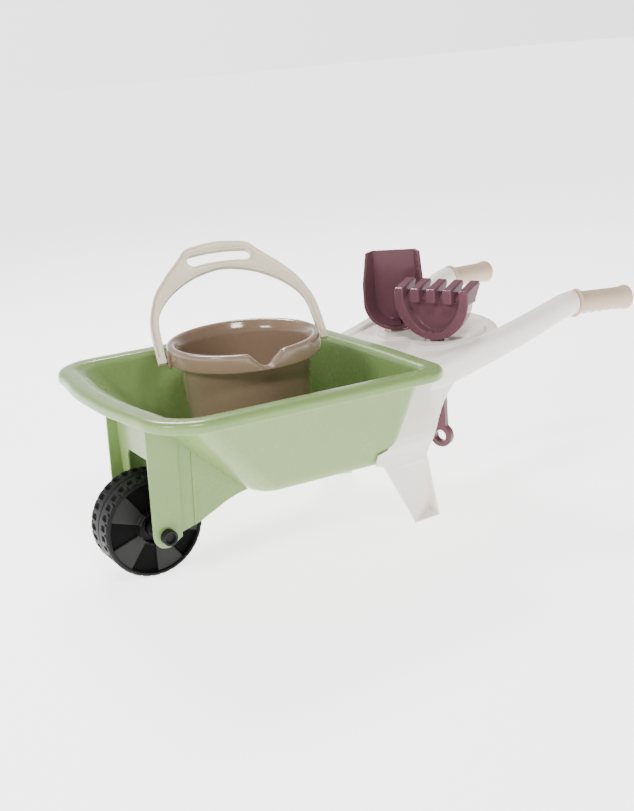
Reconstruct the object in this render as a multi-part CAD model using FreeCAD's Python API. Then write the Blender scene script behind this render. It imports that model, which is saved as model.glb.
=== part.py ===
import FreeCAD, Part
import os, math
from FreeCAD import Vector as V
os.makedirs("parts", exist_ok=True)

# ---- driving dimensions (mm). x from the wheel axle towards the grips, y across, z up from the ground ----
WHEEL_R, WHEEL_HW, AXLE_R, BORE_R = 65.9, 27.4, 6.0, 6.05
FLOOR_Z, WALL, RIM_Z, RIM_SLOPE, RIM_X0 = 95.0, 3.0, 245.1, -0.0346, -15.6
FL = dict(xf=117.0, bf=12.0, xr=311.0, br=3.0, yf=97.0, yr=115.5, rf=34.0, rr=16.0)      # outer wall at the floor
TP = dict(xf=-18.6, bf=11.4, xr=332.3, br=4.7, yf=166.2, yr=172.3, rf=43.0, rr=15.0)     # outer wall at the rim
LIP_W, LIP_DROP = 25.0, 14.0
FORK_OUT, FORK_T = 63.6, 3.0
CAP_R, CAP_OUT, CAP_HOLE = 10.2, 72.9, 6.6
RACK_X, RACK_Z, RACK_TILT, RACK_T, PLAT_H = 380.0, 210.5, 9.37, 3.0, 5.0
SEAT_Z = 226.4
FOOT_Y, FOOT_IN = 120.0, 99.0
ARM_R = 17.0
GRIP_A, GRIP_B = (614.8, 139.7, 257.3), (704.0, 153.3, 252.0)
GRIP_R, COLLAR_R, GRIP_END_R = 15.4, 19.8, 17.4
BK = (165.9, 0.25)
BK_TOP, BK_R, BK_BAND, BK_LIP = 277.8, 100.2, 23.0, 9.0
BAIL_PSI, BAIL_TILT, BAIL_Z = -0.222, 0.70, 261.0
SPOUT_DEG = -101.5
SPADE_AT, SPADE_DIR = (441.5, 44.0), 228.0
RAKE_AT, RAKE_DIR = (442.0, -50.0), 203.0
SLOT_L, SLOT_W = 17.8, 6.3
N_LUG = 30


def lerp(a, b, t):
    return a + (b - a) * t


def outline2d(s, d):
    q = {k: lerp(FL[k], TP[k], s) for k in FL}
    xf, xr, yf, yr = q["xf"] - d, q["xr"] + d, q["yf"] + d, q["yr"] + d
    rf, rr = max(q["rf"] + d, 5.0), max(q["rr"] + d, 4.0)
    m = (yr - yf) / (xr - xf)
    k = math.sqrt(1 + m * m)
    al = math.atan(m)
    cf = (xf + rf, yf + m * rf - rf * k)
    cr = (xr - rr, yr - m * rr - rr * k)
    h = []
    for i in range(5):
        t = i / 5.0
        h.append((xf - q["bf"] * (1 - t ** 2.6) ** 1.6, cf[1] * t))
    for i in range(7):
        a = math.pi - (math.pi / 2 - al) * i / 6.0
        h.append((cf[0] + rf * math.cos(a), cf[1] + rf * math.sin(a)))
    p0, a1 = h[-1], math.pi / 2 + al
    p1 = (cr[0] + rr * math.cos(a1), cr[1] + rr * math.sin(a1))
    for i in range(1, 8):
        h.append((lerp(p0[0], p1[0], i / 8.0), lerp(p0[1], p1[1], i / 8.0)))
    for i in range(6):
        a = a1 * (1 - i / 5.0)
        h.append((cr[0] + rr * math.cos(a), cr[1] + rr * math.sin(a)))
    for i in range(1, 6):
        t = 1 - i / 5.0
        h.append((xr + q["br"] * (1 - t ** 2.6) ** 1.6, cr[1] * t))
    return h + [(x, -y) for x, y in h[-2:0:-1]]


def rim_z(x):
    return RIM_Z + RIM_SLOPE * (x - RIM_X0)


def section(s, d, dz=0.0):
    base = lerp(FLOOR_Z, RIM_Z, s)
    return spline([V(x, y, base + s * RIM_SLOPE * (x - RIM_X0) + dz) for x, y in outline2d(s, d)])


def spline(pts):
    c = Part.BSplineCurve()
    c.interpolate(pts, PeriodicFlag=True)
    return Part.Wire(c.toShape())


def open_spline(pts):
    c = Part.BSplineCurve()
    c.interpolate(pts)
    return c.toShape()


def loft(wires, ruled=True):
    return Part.makeLoft(wires, True, ruled)


def poly(pts):
    return Part.makePolygon(pts + [pts[0]])


def prism_y(xz, y0, y1):
    return Part.Face(poly([V(x, y0, z) for x, z in xz])).extrude(V(0, y1 - y0, 0))


def cyl(r, h, at, axis):
    return Part.makeCylinder(r, h, V(*at), V(*axis))


def lvl(z):
    return (z - FLOOR_Z) / (RIM_Z - FLOOR_Z)


def wall_solid(d, top=0.0):
    ws = [section(lvl(FLOOR_Z), d - 9.0, -d), section(lvl(FLOOR_Z + 1.8), d - 4.4, -d),
          section(lvl(FLOOR_Z + 5.5), d - 1.4, -d), section(lvl(FLOOR_Z + 12), d, -d), section(1.0, d, 0)]
    if top:
        ws.append(section(1.0, d, top))
    return loft(ws)


def mirror_y(s):
    return s.mirror(V(0, 0, 0), V(0, 1, 0))


# ---- tub: basin, rolled rim, fork plates and wheel arch in one moulding ----
outer = wall_solid(0.0)
cavity = wall_solid(-WALL, 6.0)
lip = loft([section(1, LIP_W, -LIP_DROP), section(1, LIP_W - 0.3, -6), section(1, LIP_W - 2.4, -2.2),
            section(1, LIP_W - 7, -0.5), section(1, LIP_W - 12, 0)])
pocket = loft([section(1, LIP_W - 2.6, -LIP_DROP - 1), section(1, LIP_W - 3.0, -5), section(1, LIP_W - 6, -3.2)])
envelope = loft([section(1, LIP_W + 0.3, -LIP_DROP - 0.3), section(1, LIP_W + 0.3, 8)]).fuse(wall_solid(0.3, 8.0))

flange = [(-10.3, 238), (-18.6, 70.5), (-17.2, 62), (-12.6, 54.8), (-6, 51.4), (0.6, 50.6), (10, 54.5), (20, 60),
          (20.2, 66), (30, 238)]
web = [(0, 238), (0, 66), (20, 64.5), (28, 66.5), (36.8, 68.7), (43, 70.5), (49.7, 73), (60, 77.6), (71.8, 82.4), (82, 87),
       (90, 89.8), (100.8, 93), (110, 94.2), (122, 96), (140, 110), (60, 200)]
skirt = [(44.5, 200), (38.8, 69.6), (43, 70.5), (49.7, 73), (60, 77.6), (71.8, 82.4), (82, 87), (90, 89.8), (100.8, 93),
         (110, 94.2), (122, 96), (140, 110), (60, 200)]
forks = None
for sgn in (-1, 1):
    for xz, a, b in ((flange, FORK_OUT - FORK_T, FORK_OUT), (web, 58.6, 61.4), (skirt, 58.6, 62.8)):
        q = prism_y(xz, sgn * a, sgn * b)
        forks = q if forks is None else forks.fuse(q)
panel = Part.makeBox(3.0, 122.0, 150.0, V(0, -61.0, 90.0))
arch = Part.makeBox(20.0, 72.0, 57.0, V(-5, -36.0, 89.0)).fuse(Part.makeBox(20.0, 52.0, 10.0, V(-5, -26.0, 146.0)))
arch = arch.fuse(cyl(10, 20, (-5, -26, 146), (1, 0, 0))).fuse(cyl(10, 20, (-5, 26, 146), (1, 0, 0)))
under = forks.fuse(panel.cut(arch))
trim = Part.makeBox(400, 400, 60, V(-100, -200, 231))
under = under.cut(trim)
tub = outer.fuse(lip.cut(pocket)).fuse(under).cut(cavity)
tub = tub.cut(cyl(AXLE_R + 0.3, 200, (0, -100, WHEEL_R), (0, 1, 0)))

# ---- wheel: two moulded halves, web with raised sectors, blocked tread ----
c0 = V(0, 0, WHEEL_R)


def ring_prof(pts):
    f = Part.Face(poly([V(r, y, WHEEL_R) for r, y in pts]))
    return f.revolve(V(0, 0, WHEEL_R), V(0, 1, 0), 360)


def wheel_half(sgn, phase):
    p = [(BORE_R, 0.1), (WHEEL_R - 1.2, 0.1), (WHEEL_R, 1.0), (WHEEL_R, WHEEL_HW - 2.4), (WHEEL_R - 2.2, WHEEL_HW), (WHEEL_R - 5.0, WHEEL_HW),
         (WHEEL_R - 6.2, 20.5), (23.2, 20.5), (23.0, 29.6), (20.8, 29.6), (20.8, 18.5), (11.0, 18.5), (11.0, 29.6), (BORE_R, 29.6)]
    s = ring_prof([(r, sgn * y) for r, y in p])
    hollow = ring_prof([(r, sgn * y) for r, y in [(12.0, -1), (57.4, -1), (57.4, 17.4), (24.0, 17.4), (24.0, 15.4), (12.0, 15.4)]])
    s = s.cut(hollow)
    cuts = []
    for i in range(N_LUG):
        b = Part.makeBox(4.0, 10.5, 7.2, V(WHEEL_R - 2.4, 9.5 if sgn > 0 else -20.0, WHEEL_R - 3.6))
        b.rotate(c0, V(0, 1, 0), 360.0 / N_LUG * i + phase)
        cuts.append(b)
        b = Part.makeBox(4.0, 9.0, 2.6, V(WHEEL_R - 1.5, 19.5 if sgn > 0 else -28.5, WHEEL_R - 1.3))
        b.rotate(c0, V(0, 1, 0), 360.0 / N_LUG * (i + 0.5) + phase)
        cuts.append(b)
    s = s.cut(Part.makeCompound(cuts))
    for i in range(5):
        w = ring_prof_part(sgn, 201.0 + 72.0 * i)
        s = s.fuse(w)
    return s


def ring_prof_part(sgn, a0):
    f = Part.Face(poly([V(r, sgn * y, WHEEL_R) for r, y in [(22.4, 20.0), (59.8, 20.0), (59.8, 24.5), (22.4, 22.6)]]))
    w = f.revolve(V(0, 0, WHEEL_R), V(0, 1, 0), 36)
    w.rotate(c0, V(0, 1, 0), a0)
    return w


wheel_left = wheel_half(-1, 0.0)
wheel_right = wheel_half(1, 180.0 / N_LUG)

axle = cyl(AXLE_R, 132.6, (0, -66.3, WHEEL_R), (0, 1, 0))


def cap(sgn):
    f = Part.Face(poly([V(r, sgn * y, WHEEL_R) for r, y in
                        [(0, 68.4), (CAP_HOLE, 68.4), (CAP_HOLE, CAP_OUT - 1.0), (CAP_HOLE + 0.8, CAP_OUT), (CAP_R - 0.9, CAP_OUT), (CAP_R, CAP_OUT - 0.9), (CAP_R, 63.8),
                         (AXLE_R + 0.05, 63.8), (AXLE_R + 0.05, 66.6), (0, 66.6)]]))
    return f.revolve(V(0, 0, WHEEL_R), V(0, 1, 0), 360)


def spacer(sgn):
    f = Part.Face(poly([V(r, sgn * y, WHEEL_R) for r, y in [(AXLE_R + 0.3, 30.2), (9.8, 30.2), (9.8, 54.8), (12.5, 56.1), (12.5, 58.1), (AXLE_R + 0.3, 58.1)]]))
    return f.revolve(V(0, 0, WHEEL_R), V(0, 1, 0), 360)


# ---- side frames: plate on the basin, splayed leg with tray, hollow arm ----
def sup(x, yc, zc, hy, hz, e, n=20):
    pts = []
    for i in range(n):
        a = 2 * math.pi * i / n
        c, s = math.cos(a), math.sin(a)
        pts.append(V(x, yc + hy * math.copysign(abs(c) ** (2 / e), c), zc + hz * math.copysign(abs(s) ** (2 / e), s)))
    return spline(pts)


ARM = [(372, 110.0, 195.5, 13.5, 17.5, 3.6), (400, 111.5, 199.0, 14.0, 19.0, 3.6), (430, 114.3, 205.5, 14.6, 19.4, 3.3), (460, 117.6, 213.2, 15.2, 19.0, 3.0),
       (515, 124.2, 228.4, 16.2, 18.2, 2.7), (560, 131.0, 243.0, 16.8, 17.5, 2.3), (600, 137.6, 256.6, ARM_R, ARM_R, 2.0), (613.5, 139.3, 257.6, ARM_R, ARM_R, 2.0)]


def arm_solid(grow, x0=None, x1=None):
    return loft([sup(x if not (x1 and i == len(ARM) - 1) else x1, yc, zc, hy + grow, hz + grow, e) for i, (x, yc, zc, hy, hz, e) in enumerate(ARM)], False)


def quad(z, pts):
    return poly([V(x, y, z) for x, y in pts])


def side_frame():
    # built on +y, mirrored for the left side
    prof = [(119.6, 60), (119.9, 93), (121.8, 106), (125.4, 118), (126.2, 128), (125.2, 148), (122.5, 175), (119.5, 200), (118.0, 216),
            (114.4, 216), (116.0, 200), (119.0, 175), (121.8, 148), (122.8, 128), (122.0, 118), (118.4, 106), (116.5, 94), (116.2, 60)]
    slab = Part.Face(poly([V(260, y, z) for y, z in prof])).extrude(V(180, 0, 0))
    xz = [(281, 114.5), (278.5, 97.5), (289.5, 94.5), (294.5, 90.0), (295.8, 87.0), (359.6, 87.0), (364.0, 99.5), (369.7, 112), (375.0, 127.0), (381, 141.5), (387.0, 153.5), (394, 163.5), (401, 172), (409, 179.5),
          (420, 186), (432, 196), (432, 208), (372, 208), (366, 214), (296, 214), (296, 119)]
    s = slab.common(prism_y(xz, 90, 180))
    web_ = loft([quad(0.0, [(337, FOOT_Y), (378, FOOT_IN + 1), (378, FOOT_IN - 2), (337, FOOT_Y - 3)]),
                 quad(91.0, [(293.5, FOOT_Y), (360.4, FOOT_Y - 1), (360.4, FOOT_Y - 5.2), (293.5, FOOT_Y - 5.2)])])
    rear = loft([quad(0.0, [(376, FOOT_Y), (379, FOOT_Y), (379, FOOT_IN - 2), (376, FOOT_IN - 2)]),
                 quad(96.0, [(359.2, FOOT_Y - 0.2), (362.2, FOOT_Y - 0.2), (362.2, FOOT_Y - 5.2), (359.2, FOOT_Y - 5.2)])])
    foot = Part.Face(quad(0.0, [(336.4, FOOT_Y), (379, FOOT_Y), (379, FOOT_IN - 2), (375, FOOT_IN - 2), (336.4, FOOT_Y - 3)])).extrude(V(0, 0, 3))
    a, b = V(*GRIP_A), V(*GRIP_B)
    ax = (b - a).normalize()
    arm = arm_solid(0.0, None, 619.0).cut(Part.makeCylinder(30.0, 40.0, a - ax * 0.3, ax))
    core = loft([sup(x, yc, zc, hy - 2.6, hz - 2.6, e) for x, yc, zc, hy, hz, e in [(375.5,) + ARM[0][1:]] + ARM[1:-1]], False)
    core = core.fuse(cyl(2.5, 18.0, (470, 118.8, 190), (0, 0, 1)))
    peg = Part.makeCylinder(12.4, 84.0, a - ax * 6.0, ax)
    s = s.fuse(arm).cut(core).fuse(web_).fuse(rear).fuse(foot).fuse(peg)
    return s.cut(envelope)


# ---- tool rack between the arms ----
def to_rack(q):
    q.rotate(V(0, 0, 0), V(0, 1, 0), -RACK_TILT)
    q.translate(V(RACK_X, 0, RACK_Z))
    return q


def rack():
    # flat plate in its own plane: x from RACK_X, top face at z 0, then tilted up towards the grips
    rear = [(118, 112), (132, 99), (148, 78), (157.5, 55), (163, 30), (164.5, 0), (163, -30), (157.5, -55), (148, -78), (132, -99), (118, -112)]

    def plate(g, z0, z1):
        pts = [V(x - g, y * (1 - g / 112.0), z0) for x, y in rear]
        w, f = 112.0 - g, -27.0 + g
        lines = [Part.makeLine(pts[-1], V(f, -w, z0)), Part.makeLine(V(f, -w, z0), V(f, w, z0)), Part.makeLine(V(f, w, z0), pts[0])]
        return Part.Face(Part.Wire([open_spline(pts)] + lines)).extrude(V(0, 0, z1 - z0))

    s = plate(0.0, -12.0, 0.0).cut(plate(2.8, -13.0, -RACK_T))
    half = [(46, 0), (43, 9), (36, 20), (33, 33), (33, 46), (39, 62), (53, 80), (76, 88), (102, 87.5), (126, 79), (140, 58), (145, 32), (146, 0)]
    kid = half + [(x, -y) for x, y in half[-2:0:-1]]
    top = Part.Face(spline([V(x, y, -0.5) for x, y in kid])).extrude(V(0, 0, PLAT_H + 0.5))
    inner = Part.Face(spline([V(92 + (x - 92) * 0.94, y * 0.965, -RACK_T - 1) for x, y in kid])).extrude(V(0, 0, PLAT_H + 1.0))
    s = to_rack(s.fuse(top).cut(inner))
    for (x, y), d in ((SPADE_AT, SPADE_DIR), (RAKE_AT, RAKE_DIR)):
        b = Part.makeBox(2 * SLOT_W, 2 * SLOT_L, 60, V(-SLOT_W, -SLOT_L, RACK_Z - 20))
        b.rotate(V(0, 0, 0), V(0, 0, 1), d)
        b.translate(V(x, y, 0))
        s = s.cut(b)
    for sgn in (-1, 1):
        s = s.cut(to_rack(cyl(4.2, 30, (153, sgn * 27, -15), (0, 0, 1))))
    for sgn in (-1, 1):
        s = s.fuse(Part.makeBox(3.4, 9, 20.0, V(366.0, sgn * 108.5 - 4.5, 206.0)))
    arm = arm_solid(0.3)
    return s.cut(arm).cut(mirror_y(arm)).cut(envelope_low)


envelope_low = loft([section(1, LIP_W + 0.3, -LIP_DROP - 0.3), section(1, LIP_W + 0.3, 1.4)]).fuse(wall_solid(0.3, 1.4))


def grip(sgn):
    a, b = V(GRIP_A[0], sgn * GRIP_A[1], GRIP_A[2]), V(GRIP_B[0], sgn * GRIP_B[1], GRIP_B[2])
    L = (b - a).Length
    prof = [(12.7, 0), (COLLAR_R - 0.8, 0), (COLLAR_R, 0.8), (COLLAR_R, 2.6), (COLLAR_R - 0.9, 3.4), (GRIP_R + 0.9, 4.0), (GRIP_R, 6.5), (GRIP_R, L - 24), (GRIP_R + 0.5, L - 15),
            (GRIP_END_R, L - 7), (GRIP_END_R, L - 4), (GRIP_END_R - 1.4, L - 1.4), (GRIP_END_R - 5, L), (0, L), (0, L - 5), (12.7, L - 5)]
    g = Part.Face(poly([V(r, 0, z) for r, z in prof])).revolve(V(0, 0, 0), V(0, 0, 1), 360)
    g.Placement = FreeCAD.Placement(a, FreeCAD.Rotation(V(0, 0, 1), (b - a)))
    return g


# ---- bucket with spout notch and lugs; swinging handle ----
def local(u, v, w):
    ca, sa = math.cos(BAIL_PSI), math.sin(BAIL_PSI)
    return V(BK[0] + u * ca - v * sa, BK[1] + u * sa + v * ca, w)


def bucket():
    z0 = FLOOR_Z + WALL + 0.2
    po = [(0, z0), (46.5, z0), (49, z0 + 0.6), (52, z0 + 1.7), (60, 104.4), (67.4, 110.7), (75.5, 121), (76.8, 126), (85.4, 254.9), (BK_R - 0.4, 254.9), (BK_R, 256), (BK_R, BK_TOP - 1.6), (BK_R - 1.6, BK_TOP), (BK_R - BK_LIP, BK_TOP),
          (83.4, BK_TOP - 6), (74.4, 127), (72.8, 122.6), (64.6, 112.2), (57.0, 106.6), (49.0, 102.6), (45.0, z0 + 3.0), (0, z0 + 2.6)]
    s = Part.Face(poly([V(BK[0] + r, BK[1], z) for r, z in po])).revolve(V(BK[0], BK[1], 0), V(0, 0, 1), 360)
    gap = Part.Face(poly([V(BK[0] + r, BK[1], z) for r, z in [(85.9, 254), (BK_R - 2.4, 254), (BK_R - 2.4, BK_TOP - 3), (87.4, BK_TOP - 3)]])).revolve(V(BK[0], BK[1], 0), V(0, 0, 1), 360)
    s = s.cut(gap)
    # pouring notch
    v = [(-25, BK_TOP + 0.5), (-9, 263.0), (-5, 261.0), (0, 260.3), (5, 261.0), (9, 263.0), (25, BK_TOP + 0.5), (25, BK_TOP + 6), (-25, BK_TOP + 6)]
    n = Part.Face(poly([V(70, y, z) for y, z in v])).extrude(V(40, 0, 0))
    n.rotate(V(0, 0, 0), V(0, 0, 1), SPOUT_DEG)
    n.translate(V(BK[0], BK[1], 0))
    s = s.cut(n)
    ca, sa = math.cos(BAIL_PSI), math.sin(BAIL_PSI)
    for sgn in (-1, 1):
        lug = Part.makeBox(12.0, 18, 20.0, V(91.5, -9, BAIL_Z - 9.0))
        hole = cyl(3.05, 8.6, (95.0, 0, BAIL_Z), (1, 0, 0))
        for q in (lug, hole):
            if sgn < 0:
                q.rotate(V(0, 0, 0), V(0, 0, 1), 180)
            q.rotate(V(0, 0, 0), V(0, 0, 1), math.degrees(BAIL_PSI))
            q.translate(V(BK[0], BK[1], 0))
        s = s.fuse(lug).cut(hole)
    return s


def bail():
    k = 0.932
    out = [(114.9, -4.2), (114.9, 8), (114.6, 36), (112.3, 62), (106.5, 82), (98, 102), (86, 119), (71, 137), (57.5, 151.5), (51.5, 159), (45.5, 166), (28, 171.6), (0, 175)]
    inn = [(104.3, -4.2), (104.3, 8), (103.6, 28), (102.4, 50), (99.6, 65), (93, 79), (77, 98), (57, 113), (38.8, 122.5), (18, 129), (0, 131.4)]
    o = [(u, v * k if v > 0 else v) for u, v in out]
    i = [(u, v * k if v > 0 else v) for u, v in inn]

    def band(c, inset_sign, w):
        r = []
        for j, (u, v) in enumerate(c):
            p, q = c[max(j - 1, 0)], c[min(j + 1, len(c) - 1)]
            du, dv = q[0] - p[0], q[1] - p[1]
            L = math.hypot(du, dv)
            if j == len(c) - 1:
                du, dv, L = -1.0, 0.0, 1.0
            r.append((u + inset_sign * w * (-dv) / L, v + inset_sign * w * du / L))
        return r

    def ring(c1, c2, t):
        # symmetric band between two half curves, thickness 2t about the handle plane
        f1 = [V(u, 0, v) for u, v in c1] + [V(-u, 0, v) for u, v in c1[-2::-1]]
        f2 = [V(u, 0, v) for u, v in c2] + [V(-u, 0, v) for u, v in c2[-2::-1]]
        e1, e2 = open_spline(f1), open_spline(f2)
        w = Part.Wire([e1, Part.makeLine(f1[-1], f2[-1]), e2, Part.makeLine(f2[0], f1[0])])
        f = Part.Face(w)
        f.translate(V(0, -t, 0))
        return f.extrude(V(0, 2 * t, 0))

    s = ring(o, i, 1.5)
    s = s.fuse(ring(o, band(o, 1, 2.4), 4.2)).fuse(ring(band(i, -1, 2.2), i, 4.2))
    # grip slot: arc-shaped stadium with raised edge
    def slot_w(g):
        zt, zb, hw = 160 * k, 141.5 * k, 44.0
        r = (zt - zb) / 2 + g
        pts = []
        def mid(u):
            return (zt + zb) / 2 - 0.0021 * u * u
        n = 10
        for j in range(n + 1):
            u = -hw + r * 0 + 8 + (2 * hw - 16) * j / n
            pts.append(V(u, 0, mid(u) + r))
        for j in range(1, 6):
            a = math.pi / 2 - math.pi * j / 6
            pts.append(V(hw - 8 + r * math.cos(a) * 0.95, 0, mid(hw - 8) + r * math.sin(a)))
        for j in range(n + 1):
            u = hw - 8 - (2 * hw - 16) * j / n
            pts.append(V(u, 0, mid(u) - r))
        for j in range(1, 6):
            a = -math.pi / 2 - math.pi * j / 6
            pts.append(V(-hw + 8 + r * math.cos(a) * 0.95, 0, mid(hw - 8) + r * math.sin(a)))
        return spline(pts)
    f = Part.Face(slot_w(2.2)); f.translate(V(0, -4.2, 0)); rimm = f.extrude(V(0, 8.4, 0))
    f = Part.Face(slot_w(0.0)); f.translate(V(0, -9, 0)); hole = f.extrude(V(0, 18, 0))
    s = s.fuse(rimm).cut(hole)
    for sgn in (-1, 1):
        foot = Part.makeBox(10.6, 8.4, 9.0, V(104.3 if sgn > 0 else -114.9, -4.2, -4.2))
        pin = cyl(3.0, 9.4, (sgn * 105.0, 0, 0), (-sgn, 0, 0))
        s = s.fuse(foot).fuse(pin)
    # tilt about the pivot, then turn in plan
    s.rotate(V(0, 0, 0), V(1, 0, 0), -math.degrees(BAIL_TILT))
    s.rotate(V(0, 0, 0), V(0, 0, 1), math.degrees(BAIL_PSI))
    s.translate(V(BK[0], BK[1], BAIL_Z))
    return s


# ---- hand tools. Local axes: +x is the open face's direction, y across, z up from the rack's top ----
def seat(s, at, deg):
    s.rotate(V(0, 0, 0), V(0, 0, 1), deg)
    s.translate(V(at[0], at[1], SEAT_Z))
    return s


def handle(z_top):
    h = Part.makeBox(11.0, 17.4, z_top + 132, V(-5.5, -8.7, -132.0))
    ring_o = cyl(17.0, 11.0, (-5.5, 0, -143.0), (1, 0, 0))
    ring_i = cyl(8.4, 13.0, (-6.5, 0, -143.0), (1, 0, 0))
    return h.fuse(ring_o).cut(ring_i)


def spade():
    def u_wire(x, hw, top, bot, r):
        # sides down to a rounded bottom
        zc = bot + r
        pts = [V(x, -hw, top), V(x, -hw, zc + 12)]
        e1 = Part.makeLine(pts[0], pts[1])
        arc = [V(x, -hw, zc + 12)] + [V(x, hw * math.cos(a), zc + 12 - (r + 12) * math.sin(-a)) for a in [math.pi + math.pi * j / 12 for j in range(1, 12)]] + [V(x, hw, zc + 12)]
        arc = [V(x, p.y, zc + 12 - abs(p.z - (zc + 12))) for p in arc]
        e2 = open_spline(arc)
        e3 = Part.makeLine(V(x, hw, zc + 12), V(x, hw, top))
        e4 = Part.makeLine(V(x, hw, top), V(x, -hw, top))
        return Part.Wire([e1, e2, e3, e4])
    o = loft([u_wire(-14, 32.5, 113, 6.5, 25), u_wire(20, 44.5, 113, 1.0, 30)])
    i = loft([u_wire(-10, 29.7, 130, 10.5, 25), u_wire(21, 40.9, 130, 5.7, 30)])
    s = o.cut(i)
    # side walls are lower at the top edge
    c = Part.Face(poly([V(22, -60, 125), V(7, -60, 125), V(7, -60, 110), V(22, -60, 62)])).extrude(V(0, 120, 0))
    s = s.cut(c)
    collar = Part.makeBox(20, 15.0, 11.0, V(-8, -7.5, 2.0))
    s = s.fuse(collar).fuse(handle(6.0))
    return seat(s, SPADE_AT, SPADE_DIR)


def rake():
    def d_wire(x, hw, top, bot):
        a = [V(x, -hw, top), V(x, -hw, top - 14)]
        arc = [V(x, hw * math.cos(t), top - 14 + (top - 14 - bot) * math.sin(t)) for t in [math.pi + math.pi * j / 14 for j in range(0, 15)]]
        return Part.Wire([Part.makeLine(a[0], a[1]), open_spline(arc), Part.makeLine(V(x, hw, top - 14), V(x, hw, top)), Part.makeLine(V(x, hw, top), a[0])])
    o = loft([d_wire(-11, 52.5, 71.0, 3.6), d_wire(14, 57.5, 71.0, 1.0)])
    i = loft([d_wire(0.5, 44.0, 90, 12.0), d_wire(15, 46.2, 90, 10.2)])
    s = o.cut(i)
    back = Part.makeBox(30, 120, 30, V(-12, -60, 58))
    s = s.cut(back)
    # tines run back and up from the top edge
    for j in range(5):
        y = -50.4 + 25.2 * j
        t = Part.Face(poly([V(14, 0, 53), V(14, 0, 70.5), V(11, 0, 72), V(-23, 0, 80), V(-26, 0, 74.5), V(-11, 0, 56.5), V(-11, 0, 53)])).extrude(V(0, 13.6, 0))
        t.translate(V(0, y - 6.8, 0))
        s = s.fuse(t)
    sock = Part.makeBox(18, 14, 13, V(-6, -7, 0))
    s = s.fuse(sock).fuse(handle(6.0))
    s = s.cut(cyl(2.2, 10, (3, 0, 12.5), (1, 0, 0)))
    return seat(s, RAKE_AT, RAKE_DIR)


sf = side_frame()
nodes = {
    "tub": tub, "wheel_half_left": wheel_left, "wheel_half_right": wheel_right, "axle": axle,
    "axle_cap_left": cap(-1), "axle_cap_right": cap(1), "axle_spacer_left": spacer(-1), "axle_spacer_right": spacer(1),
    "side_frame_left": mirror_y(sf), "side_frame_right": sf, "tool_rack": rack(),
    "grip_left": grip(-1), "grip_right": grip(1), "bucket": bucket(), "bucket_handle": bail(),
    "spade": spade(), "rake": rake(),
}
box = Part.makeCompound(list(nodes.values())).optimalBoundingBox()
SHIFT_X, SHIFT_Y = -(box.XMin + box.XMax) / 2, -(box.YMin + box.YMax) / 2
for name, s in nodes.items():
    s = s.removeSplitter()
    if len(s.Solids) == 1:
        s = s.Solids[0]
    s.translate(V(SHIFT_X, SHIFT_Y, -box.ZMin))
    print(name, "solids", len(s.Solids), "valid", s.isValid(), "cm3", round(s.Volume / 1000, 1))
    s.exportStep("parts/%s.step" % name)
print("shift", SHIFT_X, SHIFT_Y, -box.ZMin, "size", box.XLength, box.YLength, box.ZLength)
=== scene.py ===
import bpy, bmesh, math
from mathutils import Vector, Matrix


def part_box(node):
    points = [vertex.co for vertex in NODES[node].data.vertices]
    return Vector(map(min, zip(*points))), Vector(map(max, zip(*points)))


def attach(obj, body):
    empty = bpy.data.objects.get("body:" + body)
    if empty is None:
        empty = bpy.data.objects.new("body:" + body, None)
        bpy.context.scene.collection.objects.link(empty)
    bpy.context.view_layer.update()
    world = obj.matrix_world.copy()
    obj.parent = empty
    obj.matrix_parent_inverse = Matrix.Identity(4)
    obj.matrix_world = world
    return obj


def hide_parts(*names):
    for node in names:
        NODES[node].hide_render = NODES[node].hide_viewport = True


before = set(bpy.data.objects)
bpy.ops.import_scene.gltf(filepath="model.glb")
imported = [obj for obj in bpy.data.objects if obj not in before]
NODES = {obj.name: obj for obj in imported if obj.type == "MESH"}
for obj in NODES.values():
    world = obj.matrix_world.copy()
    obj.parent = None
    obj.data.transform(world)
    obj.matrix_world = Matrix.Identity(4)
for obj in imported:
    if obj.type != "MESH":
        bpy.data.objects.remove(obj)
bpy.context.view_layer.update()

# ---------------------------------------------------------------- frame: x 0 at the wheel axle, mm -> metres
ax_lo, ax_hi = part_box("axle")
SX = (ax_lo[0] + ax_hi[0]) / 2


def P(x, y, z):
    return Vector((x / 1000 + SX, y / 1000, z / 1000))


def lerp(a, b, t):
    return a + (b - a) * t


# ---------------------------------------------------------------- camera first
YAW, PITCH, ROLL, FPX, WPX, HPX = -0.5365519, 0.3082847, -0.0855851, 1129.504, 634.0, 811.0
back = Vector((math.sin(YAW) * math.cos(PITCH), -math.cos(YAW) * math.cos(PITCH), math.sin(PITCH)))
fwd = -back
right = fwd.cross(Vector((0, 0, 1))).normalized()
upv = right.cross(fwd)
c_, s_ = math.cos(ROLL), math.sin(ROLL)
r2, u2 = c_ * right + s_ * upv, -s_ * right + c_ * upv
cam_data = bpy.data.cameras.new("camera")
cam = bpy.data.objects.new("camera", cam_data)
bpy.context.scene.collection.objects.link(cam)
cam.matrix_world = Matrix(((r2.x, u2.x, back.x, 0), (r2.y, u2.y, back.y, 0), (r2.z, u2.z, back.z, 0), (0, 0, 0, 1)))
cam.location = P(-488.944, -1272.53, 629.403)
cam_data.sensor_fit = "AUTO"
cam_data.sensor_width = 36.0
cam_data.lens = 36.0 * FPX / HPX
cam_data.clip_start, cam_data.clip_end = 0.05, 60.0
bpy.context.scene.camera = cam


# ---------------------------------------------------------------- materials
def srgb(r, g, b):
    def f(v):
        v /= 255.0
        return v / 12.92 if v <= 0.04045 else ((v + 0.055) / 1.055) ** 2.4
    return (f(r), f(g), f(b), 1.0)


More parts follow.
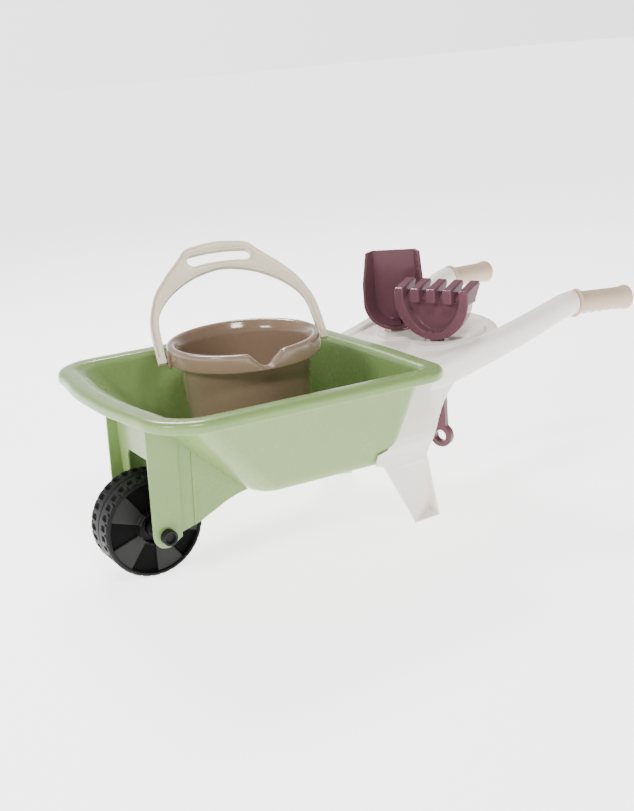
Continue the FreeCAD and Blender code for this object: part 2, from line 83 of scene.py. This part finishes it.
def plastic(name, col, rough, var=0.05, grain=0.05, grain_scale=900.0, coat=0.0, sss=0.0, sss_r=(0.01, 0.01, 0.01), scuff=0.10, spec=0.42):
    m = bpy.data.materials.new(name)
    m.use_nodes = True
    nt = m.node_tree
    n, l = nt.nodes, nt.links
    bs = n["Principled BSDF"]
    tc = n.new("ShaderNodeTexCoord")

    def noise(scale, detail=3.0, rough_=0.55, dist=0.0, mapping=None):
        t = n.new("ShaderNodeTexNoise")
        t.inputs["Scale"].default_value = scale
        t.inputs["Detail"].default_value = detail
        t.inputs["Roughness"].default_value = rough_
        t.inputs["Distortion"].default_value = dist
        if mapping:
            mp = n.new("ShaderNodeMapping")
            mp.inputs["Scale"].default_value = mapping
            l.new(tc.outputs["Object"], mp.inputs["Vector"])
            l.new(mp.outputs["Vector"], t.inputs["Vector"])
        else:
            l.new(tc.outputs["Object"], t.inputs["Vector"])
        return t

    def ramp(src, a, b, ca, cb):
        r = n.new("ShaderNodeValToRGB")
        r.color_ramp.elements[0].position, r.color_ramp.elements[1].position = a, b
        r.color_ramp.elements[0].color, r.color_ramp.elements[1].color = ca, cb
        l.new(src, r.inputs["Fac"])
        return r

    def tint(k, shift=0.0):
        return (min(1, col[0] * (k + shift)), min(1, col[1] * k), min(1, col[2] * (k - shift)), 1)

    # slow drift of pigment and moulding flow
    big = noise(5.0, 3.0, 0.5, 0.6)
    base = ramp(big.outputs["Fac"], 0.3, 0.72, tint(1 - var, 0.012), tint(1 + var * 0.7, -0.008))
    # faint speckle
    sp = noise(260.0, 2.0)
    spr = ramp(sp.outputs["Fac"], 0.42, 0.66, (0.972, 0.972, 0.972, 1), (1, 1, 1, 1))
    mul = n.new("ShaderNodeMix"); mul.data_type = "RGBA"; mul.blend_type = "MULTIPLY"
    mul.inputs["Factor"].default_value = 1.0
    l.new(base.outputs["Color"], mul.inputs["A"])
    l.new(spr.outputs["Color"], mul.inputs["B"])
    l.new(mul.outputs["Result"], bs.inputs["Base Color"])
    # roughness: handling haze and fine scuffs
    haze = noise(14.0, 4.0, 0.6, 0.3)
    hz = n.new("ShaderNodeMapRange")
    hz.inputs["From Min"].default_value, hz.inputs["From Max"].default_value = 0.3, 0.7
    hz.inputs["To Min"].default_value, hz.inputs["To Max"].default_value = rough * 0.86, rough * 1.16
    l.new(haze.outputs["Fac"], hz.inputs["Value"])
    scr = noise(24.0, 6.0, 0.7, 1.2, (1.0, 9.0, 0.6))
    sc = n.new("ShaderNodeMapRange")
    sc.inputs["From Min"].default_value, sc.inputs["From Max"].default_value = 0.62, 0.72
    sc.inputs["To Min"].default_value, sc.inputs["To Max"].default_value = 0.0, scuff
    l.new(scr.outputs["Fac"], sc.inputs["Value"])
    add = n.new("ShaderNodeMath"); add.operation = "ADD"
    l.new(hz.outputs["Result"], add.inputs[0])
    l.new(sc.outputs["Result"], add.inputs[1])
    l.new(add.outputs["Value"], bs.inputs["Roughness"])
    # bump: mould texture, slow waviness of thin walls
    fine = noise(grain_scale, 2.0, 0.5)
    wav = noise(9.0, 2.0, 0.4)
    b1 = n.new("ShaderNodeBump"); b1.inputs["Strength"].default_value = grain; b1.inputs["Distance"].default_value = 0.0006
    l.new(fine.outputs["Fac"], b1.inputs["Height"])
    b2 = n.new("ShaderNodeBump"); b2.inputs["Strength"].default_value = 0.10; b2.inputs["Distance"].default_value = 0.003
    l.new(wav.outputs["Fac"], b2.inputs["Height"])
    l.new(b1.outputs["Normal"], b2.inputs["Normal"])
    l.new(b2.outputs["Normal"], bs.inputs["Normal"])
    bs.inputs["IOR"].default_value = 1.49
    bs.inputs["Specular IOR Level"].default_value = spec
    bs.inputs["Coat Weight"].default_value = coat
    bs.inputs["Coat Roughness"].default_value = 0.12
    bs.inputs["Subsurface Weight"].default_value = sss
    bs.inputs["Subsurface Radius"].default_value = sss_r
    bs.inputs["Subsurface Scale"].default_value = 0.12
    bs.inputs["Sheen Weight"].default_value = 0.02
    return m


M = {
    "green": plastic("green_plastic", srgb(120, 146, 86), 0.28, var=0.05, grain=0.06, coat=0.12, spec=0.38, scuff=0.04, sss=0.10, sss_r=(0.02, 0.035, 0.012)),
    "cream": plastic("cream_plastic", srgb(241, 233, 225), 0.36, var=0.018, grain=0.05, scuff=0.05, sss=0.10, sss_r=(0.03, 0.025, 0.02)),
    "ivory": plastic("ivory_plastic", srgb(222, 210, 186), 0.36, var=0.02, grain=0.05, sss=0.12, sss_r=(0.03, 0.025, 0.018)),
    "black": plastic("black_plastic", srgb(11, 11, 11), 0.5, var=0.10, grain=0.12, grain_scale=700.0, scuff=0.14, spec=0.22),
    "taupe": plastic("taupe_plastic", srgb(130, 109, 90), 0.13, var=0.03, grain=0.025, coat=0.15, sss=0.05, sss_r=(0.02, 0.014, 0.01), scuff=0.03),
    "taupe_grip": plastic("grip_plastic", srgb(196, 173, 149), 0.46, var=0.03, grain=0.12, grain_scale=600.0, sss=0.08, sss_r=(0.02, 0.015, 0.01)),
    "plum": plastic("plum_plastic", srgb(99, 66, 74), 0.17, var=0.05, grain=0.02, coat=0.05, sss=0.04, sss_r=(0.02, 0.008, 0.01), scuff=0.05, spec=0.24),
}


# the wheel's raised sectors are matt and grainy, the sunk ones smooth
def wheel_plastic():
    m = plastic("wheel_plastic", srgb(11, 11, 11), 0.5, var=0.10, grain=0.22, grain_scale=520.0, scuff=0.12, spec=0.2)
    nt = m.node_tree
    n, l = nt.nodes, nt.links
    bs = n["Principled BSDF"]
    alo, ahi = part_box("axle")
    tc = n.new("ShaderNodeTexCoord")
    sp = n.new("ShaderNodeSeparateXYZ")
    l.new(tc.outputs["Object"], sp.inputs["Vector"])

    def math_(op, a, b=None, c=None):
        q = n.new("ShaderNodeMath"); q.operation = op
        for i, v in enumerate((a, b, c)):
            if v is None:
                continue
            if isinstance(v, (int, float)):
                q.inputs[i].default_value = v
            else:
                l.new(v, q.inputs[i])
        return q.outputs["Value"]

    dx = math_("SUBTRACT", sp.outputs["X"], SX)
    dz = math_("SUBTRACT", (alo[2] + ahi[2]) / 2, sp.outputs["Z"])
    ang = math_("ARCTAN2", dz, dx)
    fr_ = math_("FRACT", math_("MULTIPLY_ADD", ang, 180.0 / math.pi / 72.0, 10.0 - 201.0 / 72.0))
    sect = math_("LESS_THAN", fr_, 0.5)
    r_ = math_("SQRT", math_("ADD", math_("MULTIPLY", dx, dx), math_("MULTIPLY", dz, dz)))
    web = math_("MULTIPLY", math_("LESS_THAN", r_, 0.0600), math_("GREATER_THAN", r_, 0.0222))
    raised = math_("MULTIPLY", sect, web)
    sunk = math_("MULTIPLY", math_("SUBTRACT", 1.0, sect), web)
    spec = math_("MULTIPLY_ADD", raised, 0.10, 0.17)
    l.new(math_("MULTIPLY_ADD", sunk, -0.13, spec), bs.inputs["Specular IOR Level"])
    src = bs.inputs["Base Color"].links[0].from_socket
    mx = n.new("ShaderNodeMix"); mx.data_type = "RGBA"; mx.blend_type = "ADD"
    l.new(raised, mx.inputs["Factor"])
    l.new(src, mx.inputs["A"])
    mx.inputs["B"].default_value = (0.005, 0.005, 0.0047, 1)
    l.new(mx.outputs["Result"], bs.inputs["Base Color"])
    return m


M["wheel"] = wheel_plastic()
M["plum"].node_tree.nodes["Principled BSDF"].inputs["Specular Tint"].default_value = (0.62, 0.42, 0.48, 1)


# ---------------------------------------------------------------- mesh helpers
def new_obj(name, verts, faces, mat, body, node=(), smooth=True, bevel=None, angle=35):
    me = bpy.data.meshes.new(name)
    me.from_pydata([tuple(v) for v in verts], [], faces)
    me.update()
    bm = bmesh.new(); bm.from_mesh(me)
    bmesh.ops.remove_doubles(bm, verts=bm.verts, dist=1e-6)
    bmesh.ops.recalc_face_normals(bm, faces=bm.faces)
    bm.to_mesh(me); bm.free()
    o = bpy.data.objects.new(name, me)
    bpy.context.scene.collection.objects.link(o)
    me.materials.append(M[mat])
    if smooth:
        for p in me.polygons:
            p.use_smooth = True
    if bevel:
        b = o.modifiers.new("bevel", "BEVEL")
        b.width, b.segments, b.limit_method, b.angle_limit = bevel, 3, "ANGLE", math.radians(angle)
        b.harden_normals = True
    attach(o, body)
    if node:
        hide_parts(*node)
    return o


def loft_rings(rings, cap_a=True, cap_b=True):
    n = len(rings[0])
    v = [p for r in rings for p in r]
    f = []
    for i in range(len(rings) - 1):
        for j in range(n):
            k = (j + 1) % n
            f.append((i * n + j, i * n + k, (i + 1) * n + k, (i + 1) * n + j))
    if cap_a:
        f.append(tuple(range(n))[::-1])
    if cap_b:
        f.append(tuple((len(rings) - 1) * n + j for j in range(n)))
    return v, f


def soften(o, voxel, it=6, factor=0.5):
    r = o.modifiers.new("remesh", "REMESH")
    r.mode, r.voxel_size, r.use_smooth_shade = "VOXEL", voxel, True
    s = o.modifiers.new("soft", "SMOOTH")
    s.factor, s.iterations = factor, it
    return o


# ---------------------------------------------------------------- tub: smooth basin with rolled rim
FLOOR_Z, RIM_Z, RIM_SLOPE, RIM_X0 = 95.0, 245.1, -0.0346, -15.6
FL = dict(xf=117.0, bf=12.0, xr=311.0, br=3.0, yf=97.0, yr=115.5, rf=34.0, rr=16.0)
TP = dict(xf=-18.6, bf=11.4, xr=332.3, br=4.7, yf=166.2, yr=172.3, rf=43.0, rr=15.0)


def outline(s, d):
    q = {k: lerp(FL[k], TP[k], s) for k in FL}
    xf, xr, yf, yr = q["xf"] - d, q["xr"] + d, q["yf"] + d, q["yr"] + d
    rf, rr = max(q["rf"] + d, 5.0), max(q["rr"] + d, 4.0)
    m = (yr - yf) / (xr - xf)
    k = math.sqrt(1 + m * m)
    al = math.atan(m)
    cf = (xf + rf, yf + m * rf - rf * k)
    cr = (xr - rr, yr - m * rr - rr * k)
    h = []
    for i in range(14):
        t = i / 14.0
        h.append((xf - q["bf"] * (1 - t ** 2.6) ** 1.6, cf[1] * t))
    for i in range(19):
        a = math.pi - (math.pi / 2 - al) * i / 18.0
        h.append((cf[0] + rf * math.cos(a), cf[1] + rf * math.sin(a)))
    p0, a1 = h[-1], math.pi / 2 + al
    p1 = (cr[0] + rr * math.cos(a1), cr[1] + rr * math.sin(a1))
    for i in range(1, 30):
        h.append((lerp(p0[0], p1[0], i / 30.0), lerp(p0[1], p1[1], i / 30.0)))
    for i in range(15):
        a = a1 * (1 - i / 14.0)
        h.append((cr[0] + rr * math.cos(a), cr[1] + rr * math.sin(a)))
    for i in range(1, 15):
        t = 1 - i / 14.0
        h.append((xr + q["br"] * (1 - t ** 2.6) ** 1.6, cr[1] * t))
    return h + [(x, -y) for x, y in h[-2:0:-1]]


def lvl(z):
    return (z - FLOOR_Z) / (RIM_Z - FLOOR_Z)


def ring(s, d, dz=0.0):
    base = lerp(FLOOR_Z, RIM_Z, s)
    return [P(x, y, base + s * RIM_SLOPE * (x - RIM_X0) + dz) for x, y in outline(s, d)]


def shrink(r, k):
    c = P(214, 0, 0)
    return [Vector((c.x + (p.x - c.x) * k, c.y + (p.y - c.y) * k, p.z)) for p in r]


foot_ = [(0, -9, 0), (lvl(95.3), -7, 0), (lvl(96.0), -5.4, 0), (lvl(97.4), -3.4, 0), (lvl(99.4), -1.8, 0), (lvl(102.4), -0.7, 0), (lvl(107), 0, 0)]
prof = list(foot_) + [(s, 0, 0) for s in (0.14, 0.24, 0.36, 0.48, 0.6, 0.72, 0.82, 0.885)]
prof += [(0.899, 0.6, 0), (0.9045, 2.2, 0.2), (0.9062, 5.0, 0.4)]
prof += [(1, 14, -14.1), (1, 21.6, -14.2), (1, 24.0, -14.0), (1, 24.8, -13.2), (1, 25.0, -11.8), (1, 25.0, -9.5), (1, 24.9, -7.0), (1, 24.5, -4.9), (1, 23.5, -3.0), (1, 21.9, -1.5), (1, 19.6, -0.5),
         (1, 16.6, -0.05), (1, 13, 0.05), (1, 9, 0.0), (1, 5.4, -0.15), (1, 2.6, -0.6), (1, 0.4, -1.5), (1, -1.2, -2.9), (0.978, -2.2, -1.4), (0.96, -2.8, 0), (0.94, -3.0, 0)]
prof += [(s, -3, 0) for s in (0.88, 0.8, 0.7, 0.6, 0.5, 0.4, 0.3, 0.2, 0.12)]
prof += [(s, d - 3, 3.0) for s, d, z in foot_[::-1]]
rings = [shrink(ring(0, -9, 0), 0.08), shrink(ring(0, -9, 0), 0.5), shrink(ring(0, -9, 0), 0.93)] + [ring(*q) for q in prof]
rings += [shrink(ring(0, -12, 3.0), k) for k in (0.93, 0.5, 0.08)]
v, f = loft_rings(rings)
tub = new_obj("tub_basin", v, f, "green", "barrow", node=("tub",))


def prism(name, xz, y0, y1, mat="green", bevel=0.0008, body="barrow"):
    n = len(xz)
    v = [P(x, y0, z) for x, z in xz] + [P(x, y1, z) for x, z in xz]
    f = [tuple(range(n)), tuple(range(2 * n - 1, n - 1, -1))] + [(i, (i + 1) % n, n + (i + 1) % n, n + i) for i in range(n)]
    return new_obj(name, v, f, mat, body, bevel=bevel)


def wall_x(z, y):
    # middle of the basin's front wall
    s = lvl(z)
    q = {k: lerp(FL[k], TP[k], s) for k in FL}
    cy = q["yf"] - q["rf"]
    t = min(1.0, abs(y) / cy)
    return q["xf"] - q["bf"] * (1 - t ** 2.6) ** 1.6 + 1.6


def wall_line(z0, z1, y, n=8):
    return [(wall_x(lerp(z0, z1, i / n), y), lerp(z0, z1, i / n)) for i in range(n + 1)]


fl_low = [(-18.6, 70.5), (-18.4, 66), (-17.2, 62), (-15.4, 58.2), (-12.6, 54.8), (-9.6, 52.6), (-6, 51.4), (-2.6, 50.7), (0.6, 50.6), (5, 51.9), (10, 54.5), (15, 57.4), (20, 60), (20.2, 66)]
flange = [(-11.2, 224)] + fl_low + wall_line(187, 229, 61)
web_low = [(0, 66), (20, 64.5), (28, 66.5), (36.8, 68.7), (43, 70.5), (49.7, 73), (60, 77.6), (71.8, 82.4), (82, 87), (90, 89.8), (100.8, 93), (110, 94.6), (118, 95.6)]
web = web_low + wall_line(99, 214, 60)
skirt = [(38.8, 69.6), (43, 70.5), (49.7, 73), (60, 77.6), (71.8, 82.4), (82, 87), (90, 89.8), (100.8, 93), (110, 94.6), (118, 95.6)] + wall_line(99, 170, 61)
for sg, nm in ((-1, "left"), (1, "right")):
    prism("fork_flange_" + nm, flange, sg * 60.6, sg * 63.6, bevel=0.0009)
    prism("fork_web_" + nm, web, sg * 58.6, sg * 61.4, bevel=0.0006)
    prism("fork_skirt_" + nm, skirt, sg * 58.6, sg * 62.8, bevel=0.0006)

# arch panel behind the wheel
def arch_panel():
    pts = [(-60.5, 90), (-36, 90), (-36, 144)]
    for i in range(9):
        a = math.pi - math.pi / 2 * i / 8
        pts.append((-26 + 10 * math.cos(a), 146 + 10 * math.sin(a)))
    for i in range(9):
        a = math.pi / 2 - math.pi / 2 * i / 8
        pts.append((26 + 10 * math.cos(a), 146 + 10 * math.sin(a)))
    pts += [(36, 144), (36, 90), (60.5, 90)]
    top = [(60.5 - 121 * i / 12, 0) for i in range(13)]
    tz = []
    for y, _ in top:
        z = 230.0
        while wall_x(z, y) < 1.5:
            z -= 0.5
        tz.append((y, z))
    pts += tz
    n = len(pts)
    v = [P(0, y, z) for y, z in pts] + [P(3, y, z) for y, z in pts]
    f = [tuple(range(n)), tuple(range(2 * n - 1, n - 1, -1))] + [(i, (i + 1) % n, n + (i + 1) % n, n + i) for i in range(n)]
    return new_obj("fork_panel", v, f, "green", "barrow", bevel=0.0008)


arch_panel()

# ---------------------------------------------------------------- cream frame: one smooth moulding over the three CAD solids
bm = bmesh.new()
for nm in ("side_frame_left", "side_frame_right", "tool_rack"):
    bm.from_mesh(NODES[nm].data)
me = bpy.data.meshes.new("frame_moulding")
bm.to_mesh(me); bm.free()
fr = bpy.data.objects.new("frame_moulding", me)
bpy.context.scene.collection.objects.link(fr)
me.materials.clear(); me.materials.append(M["cream"])
for p in me.polygons:
    p.material_index = 0
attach(fr, "barrow"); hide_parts("side_frame_left", "side_frame_right", "tool_rack")
soften(fr, 0.0008, 8, 0.5)


# ---------------------------------------------------------------- grips
def grip(sg, nm):
    a, b = P(614.8, sg * 139.7, 257.3), P(704.0, sg * 153.3, 252.0)
    ax = (b - a).normalized()
    L = (b - a).length * 1000
    down = (Vector((0, 0, -1)) - ax * ax.dot(Vector((0, 0, -1)))).normalized()
    side = ax.cross(down)
    tilt = 0.16
    pr = [(12.0, 0.3, 1), (17.6, 0.0, 1), (19.0, 0.25, 1), (19.7, 1.0, 1), (19.9, 2.0, 1), (19.4, 3.0, 1), (18.0, 3.5, 1), (16.6, 3.9, .9), (15.7, 4.8, .7), (15.45, 6.6, .4)]
    pr += [(15.4, x, 0) for x in [8.5 + (L - 26 - 8.5) * i / 40 for i in range(41)]]
    pr += [(15.45, L - 22, 0), (15.6, L - 17, 0), (15.9, L - 13, 0), (16.5, L - 9.5, 0), (17.2, L - 7, 0), (17.4, L - 5, 0), (17.3, L - 3, 0), (16.8, L - 1.6, 0), (15.8, L - 0.7, 0), (13.6, L - 0.2, 0), (9, L, 0), (3, L, 0)]
    rings = []
    for r, x, k in pr:
        row = []
        for j in range(72):
            t = 2 * math.pi * j / 72
            cd = math.cos(t)
            w = 0.0
            if 10 < x < L - 16:
                w = 0.75 * math.sin((x - 10) / (L - 26) * 5 * 2 * math.pi - 1.2) * max(0.0, cd) ** 1.5
                w *= min(1, (x - 10) / 6, (L - 16 - x) / 6)
            rr = (r + w) / 1000
            row.append(a + ax * (x / 1000 + k * tilt * rr * -cd) + (down * cd + side * math.sin(t)) * rr)
        rings.append(row)
    v, f = loft_rings(rings)
    new_obj("grip_cover_" + nm, v, f, "taupe_grip", "barrow", node=("grip_" + nm,))


grip(-1, "left"); grip(1, "right")

# ---------------------------------------------------------------- bucket
BX_, BY_, BK_TOP, BK_R = 165.9, 0.25, 277.8, 100.2
PSI, BAIL_Z, SPOUT = -0.222, 261.0, math.radians(-101.5)


def notch(y):
    pts = [(-34, 278.2), (-25, 277.4), (-22, 276.4), (-9, 263.6), (-6, 261.6), (-3, 260.6), (0, 260.3), (3, 260.6), (6, 261.6), (9, 263.6), (22, 276.4), (25, 277.4), (34, 278.2)]
    if abs(y) >= 34:
        return 1e9
    for (a, za), (b, zb) in zip(pts, pts[1:]):
        if a <= y <= b:
            return lerp(za, zb, (y - a) / (b - a))
    return 1e9


def bucket():
    po = [(2, 98.2), (40, 98.2), (46.5, 98.2), (49, 98.9), (52, 99.9), (60, 104.4), (67.4, 110.7), (75.5, 121), (76.3, 123.5), (76.9, 127), (78.5, 151), (80.5, 181), (82.5, 211), (84.4, 240), (85.2, 250),
          (85.5, 253.6), (86.2, 254.7), (88, 254.95), (97.6, 254.9), (99.2, 255.1), (100.0, 255.8), (100.2, 257.0), (100.2, 262), (100.2, 267), (100.2, 272), (100.1, 274.4), (99.6, 276.1), (98.6, 277.2), (97.0, 277.7),
          (95.0, 277.8), (93.2, 277.7), (91.4, 277.1), (90.1, 275.9), (89.1, 274.2), (87.9, 272.0), (86.6, 270.0), (85.2, 267.6), (84.3, 264.5), (83.9, 261), (83.2, 252), (81.5, 229), (79.5, 200), (77.5, 170), (75.4, 140), (74.4, 127), (73.6, 123.8),
          (72.8, 122.4), (64.6, 112.2), (57.0, 106.6), (49.0, 102.6), (45.0, 101.2), (30, 101.0), (2, 100.8)]
    n = 288
    rings = []
    for r, z in po:
        row = []
        for j in range(n):
            t = 2 * math.pi * j / n
            dt = (t - SPOUT + math.pi) % (2 * math.pi) - math.pi
            zz = z
            if abs(dt) < 0.6 and z > 254.95:
                y = r * math.sin(dt)
                nt_ = notch(y * 97.0 / r)
                top = 277.8
                if nt_ < top:
                    # squeeze the band under the notch line, keep its rounded edge
                    lo = 256.0
                    k = (z - lo) / (top - lo)
                    edge = min(1.0, max(0.0, (top - z) / 4.0))
                    zz = min(z, nt_ - min(top - z, 3.4) * 0.9) if z > lo else z
            row.append(P(BX_ + r * math.cos(t), BY_ + r * math.sin(t), zz))
        rings.append(row)
    v, f = loft_rings(rings)
    return new_obj("bucket_body", v, f, "taupe", "bucket", node=("bucket",))


bucket()
ca, sa = math.cos(PSI), math.sin(PSI)


def uv(u, w, z):
    return P(BX_ + u * ca - w * sa, BY_ + u * sa + w * ca, z)


def rbox(name, u0, u1, w0, w1, z0, z1, mat, body, bevel):
    v = [uv(u, w, z) for u in (u0, u1) for w in (w0, w1) for z in (z0, z1)]
    f = [(0, 1, 3, 2), (4, 6, 7, 5), (0, 4, 5, 1), (2, 3, 7, 6), (0, 2, 6, 4), (1, 5, 7, 3)]
    return new_obj(name, v, f, mat, body, bevel=bevel)


for sg, nm in ((-1, "left"), (1, "right")):
    a, b = (99.0, 103.5) if sg > 0 else (-103.5, -99.0)
    rbox("bucket_lug_" + nm, a, b, -9, 9, BAIL_Z - 9, BAIL_Z + 11, "taupe", "bucket", 0.0018)

# ---------------------------------------------------------------- CAD nodes that stay: soft moulded edges and materials
KEEP = {"bucket_handle": ("ivory", 0.0006, 5), "spade": ("plum", 0.00065, 22), "rake": ("plum", 0.00065, 22),
        "wheel_half_left": ("wheel", 0.0007, 2), "wheel_half_right": ("wheel", 0.0007, 2),
        "axle_cap_left": ("black", 0.0005, 3), "axle_cap_right": ("black", 0.0005, 3), "axle": ("black", 0, 0), "axle_spacer_left": ("black", 0, 0), "axle_spacer_right": ("black", 0, 0)}
for nm, (mat, vox, it) in KEEP.items():
    o = NODES[nm]
    for sl in o.material_slots:
        sl.material = M[mat]
    if vox:
        soften(o, vox, it, 0.5)

# ---------------------------------------------------------------- rake: sloping web that joins the roots of the five tines
rk_lo, rk_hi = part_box("rake")
RA = math.radians(203.0)


def rk(x, y, z):
    return P(442.0 + x * math.cos(RA) - y * math.sin(RA), -50.0 + x * math.sin(RA) + y * math.cos(RA), 226.4 + z)


web_xz = [(1.6, 53.0), (1.6, 58.4), (-2.0, 62.4), (-10.5, 65.6), (-14.5, 62.0), (-11.4, 56.5), (-10.8, 53.0)]
nw = len(web_xz)
v = [rk(x, -50.0, z) for x, z in web_xz] + [rk(x, 50.0, z) for x, z in web_xz]
f = [tuple(range(nw)), tuple(range(2 * nw - 1, nw - 1, -1))] + [(i, (i + 1) % nw, nw + (i + 1) % nw, nw + i) for i in range(nw)]
new_obj("rake_tine_web", v, f, "plum", "rake", bevel=0.0012)

# ---------------------------------------------------------------- rack: short collars under the two tool slots
for nm, cx, cy, ang in (("spade", 441.5, 44.0, 228.0), ("rake", 442.0, -50.0, 203.0)):
    ca, sa = math.cos(math.radians(ang)), math.sin(math.radians(ang))
    v = []
    for hw, hl in ((6.8, 18.3), (8.2, 19.7)):
        xy = [(cx + u * ca - w_ * sa, cy + u * sa + w_ * ca) for u, w_ in ((-hw, -hl), (hw, -hl), (hw, hl), (-hw, hl))]
        v += [P(x, y, 210.5) for x, y in xy] + [P(x, y, 214.4 + (x - 380.0) * 0.165) for x, y in xy]
    f = []
    for i in range(4):
        j = (i + 1) % 4
        f += [(i, j, 4 + j, 4 + i), (8 + i, 8 + j, 12 + j, 12 + i), (i, j, 8 + j, 8 + i), (4 + i, 4 + j, 12 + j, 12 + i)]
    new_obj("slot_collar_" + nm, v, f, "cream", "barrow", smooth=False)

# ---------------------------------------------------------------- floor and light
fm = bpy.data.materials.new("floor")
fm.use_nodes = True
fb = fm.node_tree.nodes["Principled BSDF"]
fb.inputs["Base Color"].default_value = (0.93, 0.93, 0.93, 1)
fb.inputs["Roughness"].default_value = 0.7
fb.inputs["Emission Color"].default_value = (1, 1, 1, 1)
fb.inputs["Emission Strength"].default_value = 2.6
me = bpy.data.meshes.new("floor")
me.from_pydata([(-30, -30, 0), (30, -30, 0), (30, 30, 0), (-30, 30, 0)], [], [(0, 1, 2, 3)])
fl = bpy.data.objects.new("floor", me)
me.materials.append(fm)
bpy.context.scene.collection.objects.link(fl)

w = bpy.data.worlds.new("world")
bpy.context.scene.world = w
w.use_nodes = True
wn, wl = w.node_tree.nodes, w.node_tree.links
wtc = wn.new("ShaderNodeTexCoord")
wsp = wn.new("ShaderNodeSeparateXYZ")
wcr = wn.new("ShaderNodeValToRGB")
els = wcr.color_ramp.elements
els[0].position, els[0].color = 0.0, (1, 1, 1, 1)
els[1].position, els[1].color = 1.0, (0.10, 0.10, 0.10, 1)
for pos, val in ((0.05, 1.0), (0.14, 0.60), (0.32, 0.22), (0.6, 0.12)):
    e_ = els.new(pos); e_.color = (val, val, val, 1)
wdt = wn.new("ShaderNodeVectorMath"); wdt.operation = "DOT_PRODUCT"
wdt.inputs[1].default_value = (-0.55, 0.83, 0.0)
wmr = wn.new("ShaderNodeMapRange")
wmr.inputs["From Min"].default_value, wmr.inputs["From Max"].default_value = -1.0, 1.0
wmr.inputs["To Min"].default_value, wmr.inputs["To Max"].default_value = 1.0, 3.4
wml = wn.new("ShaderNodeMath"); wml.operation = "MULTIPLY"
wl.new(wtc.outputs["Generated"], wsp.inputs["Vector"])
wl.new(wtc.outputs["Generated"], wdt.inputs[0])
wl.new(wsp.outputs["Z"], wcr.inputs["Fac"])
wl.new(wdt.outputs["Value"], wmr.inputs["Value"])
wl.new(wcr.outputs["Color"], wml.inputs[0])
wl.new(wmr.outputs["Result"], wml.inputs[1])
wl.new(wml.outputs["Value"], wn["Background"].inputs["Strength"])
wn["Background"].inputs["Color"].default_value = (1, 1, 1, 1)


def area(name, loc, target, sx, sy, power):
    d = bpy.data.lights.new(name, "AREA")
    d.shape, d.size, d.size_y, d.energy = "RECTANGLE", sx, sy, power
    o = bpy.data.objects.new(name, d)
    bpy.context.scene.collection.objects.link(o)
    o.location = loc
    o.rotation_mode = "QUATERNION"
    o.rotation_quaternion = (Vector(target) - Vector(loc)).to_track_quat("-Z", "Y")
    return o


area("key", (-1.9, -0.5, 1.5), (0, 0, 0.15), 0.6, 0.5, 29)
area("top", (0.2, 1.5, 1.9), (0, 0, 0.1), 0.9, 0.45, 60)
area("side", (-0.5, -1.3, 2.0), (0.1, 0, 0.2), 0.5, 0.35, 33)
